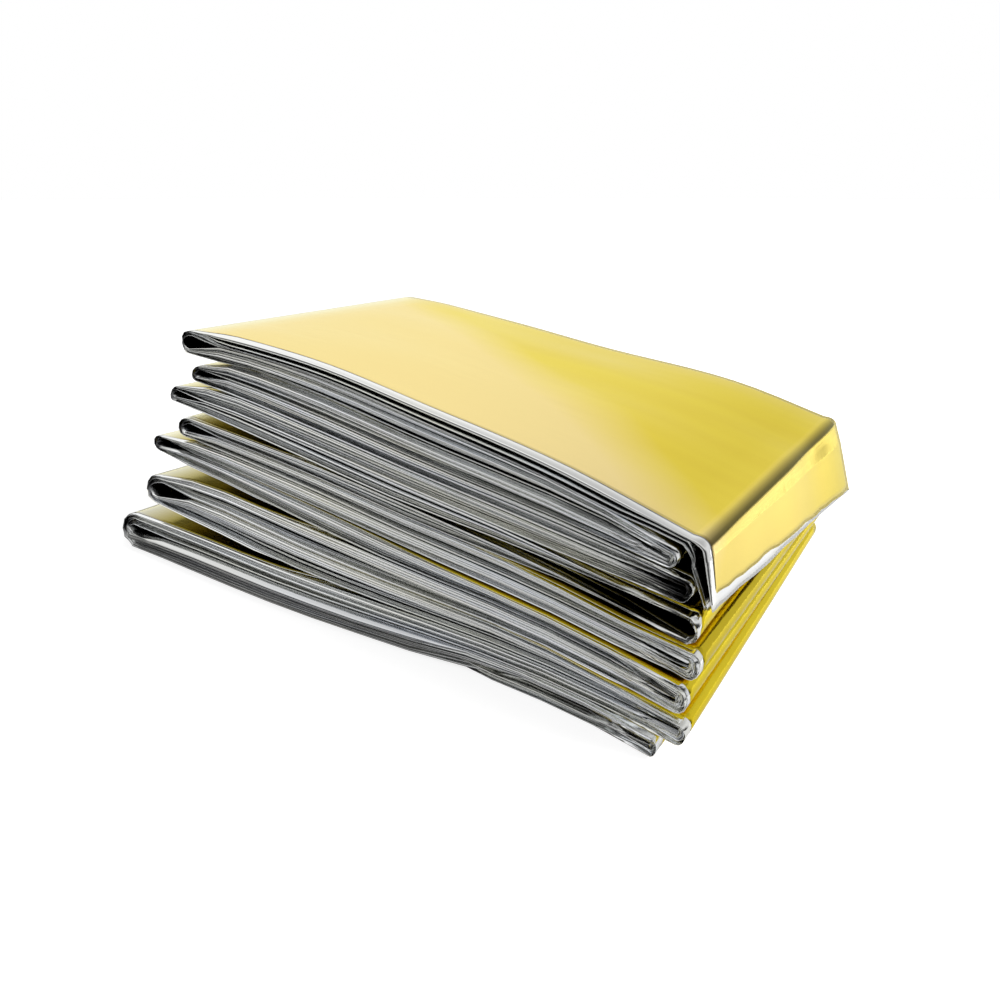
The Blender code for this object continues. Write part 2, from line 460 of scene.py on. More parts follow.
# The top run's wide rim gives way to plain pleats at its left turn, over this share of the
# run. The panels under the rim turn a tighter corner at the flap, over this length of the
# run, and by this least share at the flap's free edge.
RIM_END_SHARE = 0.12
CORNER_RUN = 25.0
FLAP_CORNER_LEAST = 0.3

# The tail, the left part of the lowest run, lies behind the front edge; the pleats of the
# run above it sag to the floor there, and do so first.
TAIL_RUN = 14
SAGGING_RUN = 13
TAIL_HIDDEN_X = 44.0
TAIL_HIDDEN_RUN = 32.0
SAG_LEAD = 1.8

# A fold that lies wider open than its neighbours: the run, the panel in front of the fold,
# how many times the usual width, up to which X, and over what length it opens.
WideFold = namedtuple("WideFold", "run panel widening to_x easing")
WIDE_FOLD = WideFold(SAGGING_RUN, 17, 24.0, 30.0, 20.0)

# Where the last panel's cut edge comes forward, so that its gold shows in the gap: the
# upper run of the gap, from which X on, and how far behind the folds the edge then lies.
GoldLine = namedtuple("GoldLine", "gap from_x setback")
GOLD_LINES = (
    GoldLine(6, 15.0, 0.5),
    GoldLine(8, 8.0, 0.2),
    GoldLine(10, 35.0, 0.3),
)
GOLD_LINE_EASING = 25.0
LAST_SETBACK = 1.1

# How near to a turn's tip or to a crease counts, in mm along the strip, and how strongly,
# before it is cut off at 1.
Nearness = namedtuple("Nearness", "reach strength")
TURN_NEARNESS = Nearness(10.0, 1.0)
CREASE_NEARNESS = Nearness(0.9, 0.5)
LOW_RIGHT_NEARNESS = Nearness(8.0, 1.0)
UNDER_FLAP_NEARNESS = Nearness(20.0, 1.0)
RIGHT_TURN_NEARNESS = Nearness(30.0, 2.0)
UNCOVERED_NEARNESS = Nearness(13.0, 1.0)
# How near to a left turn's tip the gold is painted pale, a painted highlight.
TIP_HIGHLIGHT_NEARNESS = Nearness(13.0, 2.0)
LEFT_TIP_NEARNESS = Nearness(3.2, 1.4)
HOLLOW_NEARNESS = Nearness(22.0, 2.0)
DARK_TIP_NEARNESS = Nearness(8.0, 1.0)
COVER = 0.8
# The painted shade along the flap's crease: where it starts, is full and ends, as a share of
# the fold from the top run to the flap.
CREASE_LINE = (0.2, 0.72, 0.8, 0.9)

# What each station of the strip is near to, from 0 to 1.
Marks = namedtuple("Marks", (
    "turning",        # how many turns lie before it, which may be above 1
    "near_turn",      # the tip of any turn
    "at_right",       # the tip of a right turn
    "creased",        # a turn or one of the flap's creases
    "at_crease",      # the painted shade along the flap's crease
    "widening",       # how many times its usual width each fold has, a column a fold
    "covered",        # lying under the next run
    "closed",         # beside a gap that is closed
    "worn",           # a left turn, where the gold is painted pale as a painted highlight
    "left_tip",       # the very tip of a left turn
    "hollow",         # inside a left turn
    "low_right",      # the tip of a right turn below the flap
    "in_right_turn",  # inside a right turn
    "under_flap",     # a right turn behind the flap
    "on_flap",        # on the flap or its fold
    "on_top",         # on the flap or the top run
    "end_share",      # the flap's free edge
    "corner",         # the corner between flap and top run, below 0 on the flap
    "tail",           # hidden behind the sagging pleats
    "sag",            # where the pleats sag to the floor
    "gold_line",      # where the last panel's gold shows
    "dark_tip",       # the tip of the right turn that gapes
))


def near(along, marked, nearness):
    """Return how near each station is to the marked ones, from 0 to 1."""
    found = np.zeros(len(along))
    for i in np.nonzero(marked)[0]:
        found = np.maximum(found, ease(1.0 - np.abs(along - along[i]) / nearness.reach))
    return np.clip(nearness.strength * found, 0.0, 1.0)


def last_setback(strip):
    """Return how far behind the front edge the last panel's cut edge lies, a station."""
    found = []
    for station, x in zip(strip.line, strip.middle[:, 0]):
        setback = LAST_SETBACK
        gap = station.index if station.index % 2 == 0 else station.index - 1
        for row in GOLD_LINES:
            if station.part == "run" and row.gap == gap:
                shown = float(ease((x - row.from_x) / GOLD_LINE_EASING))
                setback = mix(LAST_SETBACK, row.setback, shown)
        found.append(setback)
    return np.array(found)


def strip_marks(strip):
    """Return the marks of all the stations."""
    line = strip.line
    along = strip.along
    xs = strip.middle[:, 0]
    count = len(line)
    left_turn = np.zeros(count, dtype=bool)
    right_turn = np.zeros(count, dtype=bool)
    closed = np.ones(count)
    turning, on_flap, on_top, end_share, corner, tail, sag = (np.zeros(count) for _ in range(7))
    top_start = along[first_run_station(line)]
    for i, station in enumerate(line):
        if station.part == "turn":
            is_left = TURNS[station.index].side == "left"
            (left_turn if is_left else right_turn)[i] = abs(station.t - 0.5) < TIP_SHARE
            closed[i] = 0.0 if is_left else 1.0
            turning[i] = station.index + float(ease(station.t))
            if station.index == SAGGING_RUN - 1:
                sag[i] = max(0.0, 2.0 * station.t - 1.0)
        elif station.part == "run":
            turning[i] = station.index
            from_x = WEDGE_CLOSED_X if station.index in WEDGE_RUNS else GAP_CLOSED_X
            closed[i] = ease((xs[i] - from_x) / CLOSING_RUN)
            hidden = float(ease((TAIL_HIDDEN_X - xs[i]) / TAIL_HIDDEN_RUN))
            if station.index == 0:
                on_top[i] = ease((1.0 - station.t) / RIM_END_SHARE)
                corner[i] = ease(1.0 - (along[i] - top_start) / CORNER_RUN)
            if station.index == SAGGING_RUN:
                sag[i] = min(1.0, SAG_LEAD * hidden)
            if station.index == TAIL_RUN:
                tail[i] = max(0.0, 2.0 * hidden - 1.0)
        elif station.part == "flap":
            on_top[i] = 1.0
            on_flap[i] = 1.0
            corner[i] = -mix(FLAP_CORNER_LEAST, 1.0, station.t)
            end_share[i] = 1.0 - station.t
        else:
            on_top[i] = 1.0
            on_flap[i] = 1.0 - station.t
            corner[i] = 2.0 * station.t - 1.0
    widening = np.ones((count, LAST_PANEL))
    on_run = np.array([station.part == "run" and station.index == WIDE_FOLD.run
                       for station in line])
    opened = on_run * ease((WIDE_FOLD.to_x - xs) / WIDE_FOLD.easing)
    widening[:, WIDE_FOLD.panel] = 1.0 + (WIDE_FOLD.widening - 1.0) * opened
    near_turn = near(along, left_turn | right_turn, TURN_NEARNESS)
    creases = np.array([station in CREASE_STATIONS for station in line])
    under_turn = right_turn & (turning < FLAP_TURNS)
    low_turn = right_turn & ~under_turn
    hollow_turn = right_turn & (turning.astype(int) == HOLLOW_TURN)
    under_flap = near(along, under_turn, UNDER_FLAP_NEARNESS)
    covered = COVER * (1.0 - near(along, left_turn | low_turn, UNCOVERED_NEARNESS))
    return Marks(
        turning=turning,
        near_turn=near_turn,
        at_right=near(along, right_turn, TURN_NEARNESS),
        creased=np.maximum(near_turn, near(along, creases, CREASE_NEARNESS)),
        at_crease=np.interp(on_flap, CREASE_LINE, (0.0, 1.0, 1.0, 0.0)),
        widening=widening,
        covered=np.maximum(covered, under_flap),
        closed=closed,
        worn=near(along, left_turn, TIP_HIGHLIGHT_NEARNESS),
        left_tip=near(along, left_turn, LEFT_TIP_NEARNESS),
        hollow=near(along, left_turn, HOLLOW_NEARNESS),
        low_right=near(along, low_turn, LOW_RIGHT_NEARNESS),
        in_right_turn=near(along, right_turn, RIGHT_TURN_NEARNESS),
        under_flap=under_flap,
        on_flap=on_flap,
        on_top=on_top,
        end_share=end_share,
        corner=corner,
        tail=tail,
        sag=sag,
        gold_line=1.0 - last_setback(strip) / LAST_SETBACK,
        dark_tip=near(along, hollow_turn, DARK_TIP_NEARNESS),
    )


# ---------------------------------------------------------------- the pleats
# A column runs the whole length of the sheet. It lies on a panel, or part of the way round
# the pleat fold from that panel to the next: layer is the panel's number plus that part.
# anchor is the end of the strip's width that it keeps its distance from, inset that
# distance, fold the number of its fold, or NO_FOLD on a panel, and nose how far inside the
# fold's tip it lies.
Column = namedtuple("Column", "layer anchor inset fold nose")
NO_FOLD = -1

# Where the columns lie: round a front fold and a back fold, in degrees, and on each panel,
# in mm from its front fold or edge. The panels that show have more of them.
FRONT_ANGLES = (0.0, 50.0, 90.0, 130.0, 180.0)
BACK_ANGLES = (0.0, 90.0, 180.0)
TOP_PANEL_INSETS = (0.0, 0.8, 2.4, 5.0, 8.0, 11.0, 14.5, 18.0, 21.5, 25.0, 29.0, 33.0, 37.0,
                    41.0, 45.0, 49.0, 53.0, 57.0, 61.0, 65.0, 69.0, 73.0, 77.5)
RIM_PANEL_INSETS = (2.5, 5.0, 11.0, 18.0, 25.0, 33.0, 41.0, 49.0, 57.0, 65.0, 73.0, 77.5)
PANEL_INSETS = (2.5,)
BEFORE_LAST_INSETS = (2.5, 11.0)
LAST_PANEL_INSETS = (0.0, 1.5, 5.0, 11.0, 30.0, 50.0, 70.0, 77.5)

# How thick the front folds and the openings between them are, by weight: in the light
# groups of folds and in the dark ones, and how uneven along the strip.
Spread = namedtuple("Spread", "light dark uneven")
FRONT_FOLDS = Spread(1.5, 0.75, 0.6)
OPENINGS = Spread(0.28, 0.7, 1.1)
# The least distance between two panels.
SMALLEST_GAP = 0.03
# On the top run and the flap the rim is one wide fold, as a thickness and at most a share
# of the strip's, with a dark gap under it, a thin fold and a second dark gap. The first
# dark gap is that of a strip of the usual thickness. At least LEAST_REST is left for the
# other panels.
OnTop = namedtuple("OnTop", "run flap")
RIM_OPENING = 0.06
RIM_FOLD = 1.25
RIM_FOLD_SHARE = 0.5
FIRST_DARK_GAP = OnTop(0.42, 1.5)
USUAL_THICKNESS = 2.6
THIN_FOLD = 0.12
SECOND_DARK_GAP = OnTop(0.5, 0.05)
LEAST_REST = 0.3

# In each run a light upper group of folds stands out and a dark group below it is set back,
# with a smaller dark group above. Each lies around a middle, from 0 at the run's upper side
# to 1 at its lower, and fades with a reach; a peak above 1 makes it flat in its middle.
# Pairs are the range that a run's own value is drawn from.
LOW_GROUP_MIDDLE = (0.66, 0.8)
LOW_GROUP_REACH = (0.13, 0.2)
LOW_GROUP_PEAK = 1.6
HIGH_GROUP_MIDDLE = (0.2, 0.42)
HIGH_GROUP_REACH = 0.07
HIGH_GROUP_PEAK = 1.5
HIGH_GROUP_SHARE = (0.0, 0.7)
DARK_IN_RIGHT_TURN = 0.25

# How far the folds stand out and how far the dark groups are set back, less on the top run,
# and how unevenly; how much further a wide fold stands out, and how far the rim does.
FOLD_STANDS = 0.35
FOLD_UNEVEN = 0.3
SHADOW_RECESS = 2.3
SHADOW_UNEVEN = 0.25
SHADOW_ON_TOP = 0.35
WIDE_FOLD_STANDS = 0.07
RIM_STANDS = 0.15
RIM_UNEVEN = 0.1

# How far behind the folds the first panel's cut edge lies: on the top run and the flap,
# beside an open gap, beside a closed one, and in the low right turns. The last panel's lies
# at LAST_SETBACK, and deeper inside the left turns.
FIRST_ON_TOP = 1.5
FIRST_BESIDE_OPEN = 0.3
FIRST_BESIDE_CLOSED = 2.4
FIRST_IN_RIGHT_TURN = 0.7
FIRST_UNEVEN = 0.15
LAST_IN_LEFT_TURN = 5.0
LAST_UNEVEN = 0.2

# The lengths of the waves of what is uneven along the strip.
SPREAD_WAVE = 80.0
DRIFT_WAVE = 90.0
STAND_WAVE = 45.0
SHADOW_WAVE = 60.0
RIM_WAVE = 40.0
CUT_WAVE = 25.0
SWELL_WAVE = 2.4
RUFFLE_WAVE = 2.0
RAGGED_WAVE = 3.2

# How far back a fold's round tip reaches, as a share of the fold's width, and at most; how
# far the rim's does at least; and the factor by which the back folds stand out less.
NOSE_DEPTH = 0.75
DEEPEST_NOSE = 1.3
RIM_NOSE_DEPTH = 1.35
BACK_STANDS = 0.6

# Crumpling near the turns, mostly within CRUMPLE_REACH of the front edge: out of the
# strip's plane all the panels swell together, and along its width each ruffles alone.
CRUMPLE_REACH = 11.0
CRUMPLE_BACK = 0.1
SWELL = 0.2
LEFT_RUFFLE = 0.35
RIGHT_RUFFLE = 0.9
# Soft waves raise the first panel on the top run and the flap: their heights, their lengths
# across and along the strip, and where they start.
Wrinkle = namedtuple("Wrinkle", "height across along start")
WRINKLES = (
    Wrinkle(0.11, 36.0, 150.0, 0.8),
    Wrinkle(0.06, 23.0, -95.0, 2.6),
    Wrinkle(0.04, 47.0, -41.0, 4.1),
)
WRINKLE_LIFT = 0.24
WRINKLE_FRONT = 10.0
WRINKLE_BACK = 6.0

# Inside the flap's fold the panels turn their own, tighter corner: by this share of how
# deep they lie.
CORNER_SHIFT = 0.75
# The flap's free end is ragged, and each panel stops short of it by its own trim. The first
# panel's gold stops short of the silver under it.
FIRST_TRIM_FRONT = 2.1
FIRST_TRIM_BACK = 0.4
TRIM_RANGE = (0.1, 1.0)
RAGGED = 0.3
RAGGED_POINTS = 81

# How far the tail lies behind the front edge; how far back the sagging pleats hang, how
# fast that fades from panel to panel, what they stay off the floor, and what all of the
# film stays off it.
TAIL_RECESS = 6.0
SAG_DEPTH = 9.0
SAG_FADING = 1.3
SAG_CLEARANCE = 0.12
FLOOR_CLEARANCE = 0.03


def columns():
    """Return the columns across the sheet, from the first panel's cut edge to the last's."""
    found = []
    for panel in range(PANELS):
        if panel == 0:
            insets = TOP_PANEL_INSETS
        elif panel == 1:
            insets = tuple(reversed(RIM_PANEL_INSETS))
        elif panel == LAST_PANEL:
            insets = tuple(reversed(LAST_PANEL_INSETS))
        elif panel == LAST_PANEL - 1:
            insets = BEFORE_LAST_INSETS
        else:
            insets = PANEL_INSETS
        for inset in insets:
            found.append(Column(float(panel), "front", inset, NO_FOLD, 1.0))
        if panel == LAST_PANEL:
            break
        fold_is_behind = panel % 2 == 0
        angles = BACK_ANGLES if fold_is_behind else FRONT_ANGLES
        anchor = "back" if fold_is_behind else "front"
        for degrees in angles:
            angle = math.radians(degrees)
            layer = panel + 0.5 * (1.0 - math.cos(angle))
            found.append(Column(layer, anchor, 0.0, panel, 1.0 - math.sin(angle)))
    return found


def wave(draw, along, spacing):
    """Return smooth noise between about -1 and 1 along a line, one hump a spacing."""
    count = int(along[-1] / spacing) + 4
    knots = draw.uniform(-1.0, 1.0, count)
    place = along / spacing + 1.0
    i = np.clip(place.astype(int), 1, count - 3)
    t = place - i
    a, b, c, d = knots[i - 1], knots[i], knots[i + 1], knots[i + 2]
    bend = 2.0 * a - 5.0 * b + 4.0 * c - d + t * (3.0 * (b - c) + d - a)
    return b + 0.5 * t * (c - a + t * bend)


def group_of_folds(spots, middle, reach, peak):
    """Return how much each fold belongs to a group around a middle, from 0 to 1."""
    return np.clip(peak - np.abs(spots - middle) / reach, 0.0, 1.0)


def dark_groups(draw, marks):
    """Return how deep in shadow each fold lies, 0 to 1, a station and a fold."""
    rows = np.zeros((len(RUNS), LAST_PANEL))
    for run in range(len(RUNS)):
        spots = np.arange(LAST_PANEL) / (LAST_PANEL - 1.0)
        if run % 2 == 1:
            spots = spots[::-1]
        middle = draw.uniform(*LOW_GROUP_MIDDLE)
        reach = draw.uniform(*LOW_GROUP_REACH)
        low = group_of_folds(spots, middle, reach, LOW_GROUP_PEAK)
        middle = draw.uniform(*HIGH_GROUP_MIDDLE)
        high = group_of_folds(spots, middle, HIGH_GROUP_REACH, HIGH_GROUP_PEAK)
        rows[run] = np.maximum(low, draw.uniform(*HIGH_GROUP_SHARE) * high)
    upper = np.clip(marks.turning.astype(int), 0, len(RUNS) - 1)
    lower = np.clip(upper + 1, 0, len(RUNS) - 1)
    share = (marks.turning - upper)[:, None]
    away = 1.0 - marks.at_right
    dark = mix(rows[upper], rows[lower], share) * mix(DARK_IN_RIGHT_TURN, 1.0, away)[:, None]
    return dark * np.where(marks.widening > 1.0, 0.0, 1.0) * (1.0 - marks.sag)[:, None]


def layer_shares(draw, along, thickness, marks, dark):
    """Return the share of the strip's thickness between each panel and the next."""
    weights = np.zeros((len(along), LAST_PANEL))
    for fold in range(LAST_PANEL):
        spread = FRONT_FOLDS if fold % 2 == 1 else OPENINGS
        uneven = np.exp(spread.uneven * wave(draw, along, SPREAD_WAVE))
        weights[:, fold] = mix(spread.light, spread.dark, dark[:, fold]) * uneven
    weights *= marks.widening
    shares = weights / weights.sum(axis=1, keepdims=True)
    least = (SMALLEST_GAP / thickness)[:, None]
    shares = least + (1.0 - LAST_PANEL * least) * shares
    top = np.zeros((len(along), LAST_PANEL))
    top[:, 0] = RIM_OPENING
    top[:, 1] = np.minimum(RIM_FOLD, RIM_FOLD_SHARE * thickness)
    dark_gap = mix(FIRST_DARK_GAP.run, FIRST_DARK_GAP.flap, marks.on_flap)
    top[:, 2] = dark_gap * thickness / USUAL_THICKNESS
    top[:, 3] = THIN_FOLD
    top[:, 4] = mix(SECOND_DARK_GAP.run, SECOND_DARK_GAP.flap, marks.on_flap)
    rest = np.maximum(thickness - top.sum(axis=1), LEAST_REST)[:, None]
    top[:, 5:] = rest * weights[:, 5:] / weights[:, 5:].sum(axis=1, keepdims=True)
    top /= top.sum(axis=1, keepdims=True)
    return mix(shares, top, marks.on_top[:, None])


def panel_offsets(draw, strip, marks, dark):
    """Return how high each panel lies in the strip's thickness, at its two edges."""
    offsets = []
    for end in strip.ends:
        thickness = end[:, 2] + end[:, 3]
        share = layer_shares(draw, strip.along, thickness, marks, dark)
        above = np.concatenate((np.zeros((len(strip.line), 1)), np.cumsum(share, axis=1)), axis=1)
        offsets.append(end[:, 2][:, None] - thickness[:, None] * above)
    return offsets


def fold_stands(draw, along, marks, dark):
    """Return how far each fold stands out from the strip's edge, a station and a fold."""
    drift = FOLD_UNEVEN * wave(draw, along, DRIFT_WAVE)
    stands = np.zeros((len(along), LAST_PANEL))
    for fold in range(LAST_PANEL):
        stands[:, fold] = drift + FOLD_UNEVEN * wave(draw, along, STAND_WAVE)
        recess = mix(1.0, SHADOW_ON_TOP, marks.on_top) * SHADOW_RECESS
        recess = recess * (1.0 + SHADOW_UNEVEN * wave(draw, along, SHADOW_WAVE))
        wider = WIDE_FOLD_STANDS * (marks.widening[:, fold] - 1.0)
        stands[:, fold] += FOLD_STANDS - recess * dark[:, fold] + wider
    rim = RIM_STANDS + RIM_UNEVEN * wave(draw, along, RIM_WAVE)
    stands[:, 1] = mix(stands[:, 1], rim, marks.on_top)
    return stands


def cut_edges(draw, strip, marks):
    """Return how far back the cut edges of the first panel and of the last one lie."""
    first = mix(FIRST_BESIDE_OPEN, FIRST_BESIDE_CLOSED, marks.closed)
    first = mix(first, FIRST_IN_RIGHT_TURN, marks.low_right)
    first = mix(first, FIRST_ON_TOP, marks.on_top)
    first = first + FIRST_UNEVEN * wave(draw, strip.along, CUT_WAVE)
    last = mix(last_setback(strip), LAST_IN_LEFT_TURN, marks.hollow)
    last = last + LAST_UNEVEN * wave(draw, strip.along, CUT_WAVE)
    return first, last


Pleats = namedtuple("Pleats", "offsets stands first_edge last_edge")
Crumples = namedtuple("Crumples", "swells ruffles depths ragged trims")


def film_crumples(draw, along):
    """Return the noise that crumples the film, and that of its ragged end."""
    depths = np.linspace(0.0, PANEL_WIDTH, RAGGED_POINTS)
    return Crumples(
        swells=[wave(draw, along, SWELL_WAVE) for _ in range(2)],
        ruffles=[wave(draw, along, RUFFLE_WAVE) for _ in range(PANELS)],
        depths=depths,
        ragged=[wave(draw, depths, RAGGED_WAVE) for _ in range(PANELS)],
        trims=draw.uniform(*TRIM_RANGE, PANELS),
    )


def top_wrinkle(along, wide):
    """Return how far the first panel is raised in soft waves on the top run and the flap."""
    height = WRINKLE_LIFT
    for row in WRINKLES:
        turns = wide / row.across + along / row.along
        height = height + row.height * np.sin(2.0 * math.pi * turns + row.start)
    from_front = np.clip(wide / WRINKLE_FRONT, 0.0, 1.0)
    from_back = np.clip((PANEL_WIDTH - wide) / WRINKLE_BACK, 0.0, 1.0)
    return height * (from_front * from_back)


def flat_depth(column, panel, pleats, marks):
    """Return how far behind the front edge a column lies before the film crumples."""
    if column.fold == NO_FOLD:
        start = np.zeros(len(marks.sag))
        if column.layer == 0.0:
            start = pleats.first_edge
        elif column.layer == LAST_PANEL:
            start = pleats.last_edge
        elif column.layer > 1.0:
            start = -pleats.stands[:, panel if panel % 2 == 1 else panel - 1]
        return start * (1.0 - column.inset / PANEL_WIDTH) + column.inset
    layers = pleats.offsets[0 if column.anchor == "front" else 1]
    opening = layers[:, column.fold] - layers[:, column.fold + 1]
    depth = np.minimum(NOSE_DEPTH * opening, DEEPEST_NOSE)
    if column.fold == 1:
        depth = mix(depth, np.maximum(depth, RIM_NOSE_DEPTH), marks.on_top)
    stands = pleats.stands[:, column.fold]
    if column.anchor == "front":
        return -stands + depth * column.nose
    return PANEL_WIDTH + BACK_STANDS * stands - depth * column.nose


def column_points(column, strip, marks, pleats, crumples):
    """Return a column's X, its depth behind the front edge and its height, a station."""
    panel = min(int(column.layer), LAST_PANEL - 1)
    part = column.layer - panel
    wide = flat_depth(column, panel, pleats, marks)
    at_front = np.clip(1.0 - wide / CRUMPLE_REACH, 0.0, 1.0)
    rough = marks.near_turn * mix(CRUMPLE_BACK, 1.0, at_front)
    extra = SWELL * rough * mix(crumples.swells[0], crumples.swells[1], column.layer / LAST_PANEL)
    if column.layer < 1.0:
        extra = extra + marks.on_top * top_wrinkle(strip.along, wide) * (1.0 - part)
    ruffled = mix(crumples.ruffles[panel], crumples.ruffles[panel + 1], part)
    wide = wide + mix(LEFT_RUFFLE, RIGHT_RUFFLE, marks.at_right) * rough * ruffled
    share = wide / PANEL_WIDTH
    # The same point of the strip's section at its front and at its back. The panels below
    # the rim turn softly at the flap's creases.
    places = []
    slopes = strip.slopes if column.layer < 1.5 else strip.soft_slopes
    for end, slope, layers in zip(strip.ends, slopes, pleats.offsets):
        off = mix(layers[:, panel], layers[:, panel + 1], part) + extra
        shift = CORNER_SHIFT * marks.corner * np.maximum(-off, 0.0)
        places.append((end[:, 0] + off * slope[:, 1] + shift * slope[:, 0],
                       end[:, 1] - off * slope[:, 0] + shift * slope[:, 1]))
    x = mix(places[0][0], places[1][0], share)
    z = mix(places[0][1], places[1][1], share)
    # The ragged end of the flap, which the rim's own panel reaches.
    slope = mix(strip.slopes[0], strip.slopes[1], 0.5)
    trim = 0.0
    if column.layer < 1.0:
        first_trim = mix(FIRST_TRIM_FRONT, FIRST_TRIM_BACK, np.clip(share, 0.0, 1.0))
        trim = mix(first_trim, 0.0, part)
    elif column.layer >= 2.0:
        trim = crumples.trims[panel]
    ragged = RAGGED * np.interp(wide, crumples.depths, crumples.ragged[panel])
    shift = (trim + ragged) * marks.end_share
    x = x + slope[:, 0] * shift
    z = z + slope[:, 1] * shift
    # The tail, and the pleats that hide it.
    wide = wide + TAIL_RECESS * marks.tail * np.clip(1.0 - wide / PANEL_WIDTH, 0.0, 1.0)
    hang = np.clip(1.0 - wide / SAG_DEPTH, 0.0, 1.0)
    hang = hang * (1.0 - column.layer / LAST_PANEL) ** SAG_FADING
    front = strip.ends[0]
    lowest = front[:, 1] - front[:, 2]
    z = z - marks.sag * hang * np.maximum(lowest - SAG_CLEARANCE, 0.0)
    return x, wide, z


def front_edge(x, z):
    """Return the Y of the stack's front edge at a place on it."""
    foot = spline(FRONT_COLUMNS, FRONT_FOOT, x)
    top = spline(FRONT_COLUMNS, FRONT_TOP, x)
    return mix(foot, top, z / spline(FRONT_COLUMNS, STACK_TOP, x))


# ---------------------------------------------------------------- shade in the gaps
# How dark the gold is, from 0 to 1: in the flap's crease, and towards the flap's back from
# this share of its width on.
CREASE_SHADE = 0.94
FLAP_BACK_SHADE = 0.4
FLAP_SHADE_FROM = 0.45
# The last panel's gold: how much of its shade a gold line loses, and its shade in the right
# turns, by the turns before it: none up to the first number, whole at the second and none
# again from the third.
GOLD_LINE_LIGHT = 0.65
LOW_TURN_SHADE = 0.24
SHADE_STARTS = 6.0
SHADE_IS_WHOLE = 7.0
SHADE_ENDS = 11.0
# How dark the silver is: in the dark groups of folds, at the tips of the left turns, on the
# sagging pleats up to a layer, on their wide fold, and at the tip of the turn that gapes,
# with how fast that grows, at most how dark it is and up to which layer.
GROUP_SHADE = 0.14
LEFT_TIP_SHADE = 0.9
SAG_SHADE = 0.55
SAG_SHADE_LAYERS = 15.5
WIDE_FOLD_SHADE = 0.22
DARK_TIP_GAIN = 1.6
DARK_TIP_SHADE = 0.97
DARK_TIP_LAYERS = 13.5


def gold_shade(column, marks):
    """Return how deep in shadow a column's gold lies, 0 to 1 a station."""
    if column.layer < 1.0:
        facing_up = np.maximum(marks.on_top, marks.turning == 0.0)
        shade = np.maximum(marks.covered * (1.0 - facing_up), marks.in_right_turn)
        shade = np.maximum(shade, CREASE_SHADE * marks.at_crease)
        if column.layer == 0.0:
            deep = max(column.inset / PANEL_WIDTH - FLAP_SHADE_FROM, 0.0)
            shade = np.maximum(shade, FLAP_BACK_SHADE * deep * marks.on_flap)
        return shade
    if column.layer < LAST_PANEL - 1:
        return marks.covered
    shade = marks.covered * (1.0 - GOLD_LINE_LIGHT * marks.gold_line)
    fading = (SHADE_ENDS - marks.turning) / (SHADE_ENDS - SHADE_IS_WHOLE)
    low_turn = LOW_TURN_SHADE * marks.in_right_turn * np.clip(fading, 0.0, 1.0)
    growing = (marks.turning - SHADE_STARTS) / (SHADE_IS_WHOLE - SHADE_STARTS)
    low_turn = low_turn * np.clip(growing, 0.0, 1.0)
    shade = np.maximum(shade, low_turn)
    return np.maximum(shade, np.maximum(marks.under_flap, marks.hollow))


def silver_shade(column, marks, dark):
    """Return how deep in shadow a column's silver lies, 0 to 1 a station."""
    panel = int(column.layer)
    on_panel = column.fold == NO_FOLD
    fold = max(1, panel if panel % 2 == 1 else panel - 1)
    in_group = dark[:, min(fold, LAST_PANEL - 1)]
    shade = np.maximum(GROUP_SHADE * in_group, LEFT_TIP_SHADE * marks.left_tip)
    if column.layer < SAG_SHADE_LAYERS:
        shade = np.maximum(shade, SAG_SHADE * marks.sag)
    if column.layer < DARK_TIP_LAYERS:
        tip = np.clip(DARK_TIP_GAIN * marks.dark_tip, 0.0, DARK_TIP_SHADE)
        shade = np.maximum(shade, tip)
    if fold == WIDE_FOLD.panel:
        shade = np.maximum(shade, WIDE_FOLD_SHADE * marks.sag)
    if on_panel and panel == LAST_PANEL - 1:
        shade = np.maximum(shade, marks.hollow)
    if on_panel and panel == 1:
        shade = np.maximum(shade, marks.in_right_turn)
    if on_panel and panel in (2, 3):
        in_corner = np.maximum(marks.on_flap, marks.corner)
        shade = np.maximum(shade, np.clip(2.0 * in_corner, 0.0, 1.0))
    return shade


def shades_of(column, marks, dark):
    """Return how deep in shadow a column lies: its gold, then its silver."""
    if column.anchor == "back":
        none = np.zeros(len(marks.sag))
        return none, none
    return gold_shade(column, marks), silver_shade(column, marks, dark)


# ---------------------------------------------------------------- the film
def built_film():
    """Return the mesh of the folded film: a gold skin, a silver skin and the cut edges."""
    draw = np.random.default_rng(SEED)
    strip = folded_strip()
    marks = strip_marks(strip)
    dark = dark_groups(draw, marks)
    offsets = panel_offsets(draw, strip, marks, dark)
    stands = fold_stands(draw, strip.along, marks, dark)
    pleats = Pleats(offsets, stands, *cut_edges(draw, strip, marks))
    crumples = film_crumples(draw, strip.along)
    sheet_columns = columns()
    grid = np.zeros((len(strip.line), len(sheet_columns), 3))
    across = np.zeros(len(sheet_columns))
    shades = []
    worn = []
    for j, column in enumerate(sheet_columns):
        xs, depths, zs = column_points(column, strip, marks, pleats, crumples)
        for i, (x, depth, z) in enumerate(zip(xs, depths, zs)):
            grid[i, j] = (x - BOX_MIDDLE_X, front_edge(x, z) + depth, max(z, FLOOR_CLEARANCE))
        panel = int(column.layer)
        usual = np.mean(depths)
        across[j] = PANEL_WIDTH * panel + (usual if panel % 2 == 0 else PANEL_WIDTH - usual)
        shades.append(shades_of(column, marks, dark))
        # The painted highlight at the left turns lies on the outer face only.
        worn.append(marks.worn * (column.layer < 1.0))
    across = np.maximum.accumulate(across)
    creased = np.repeat(marks.creased, len(sheet_columns))
    worn = np.stack(worn, axis=1).ravel()
    on_gold = np.stack([shade[0] for shade in shades], axis=1).ravel()
    on_silver = np.stack([shade[1] for shade in shades], axis=1).ravel()
    mesh = skinned(grid)
    add_flat_sheet(mesh, strip.along, across)
    add_values(mesh, "creased", creased, creased)
    add_values(mesh, "worn", worn, worn)
    add_values(mesh, "shade", on_gold, on_silver)
    mesh.validate()
    mesh.update()
    return mesh


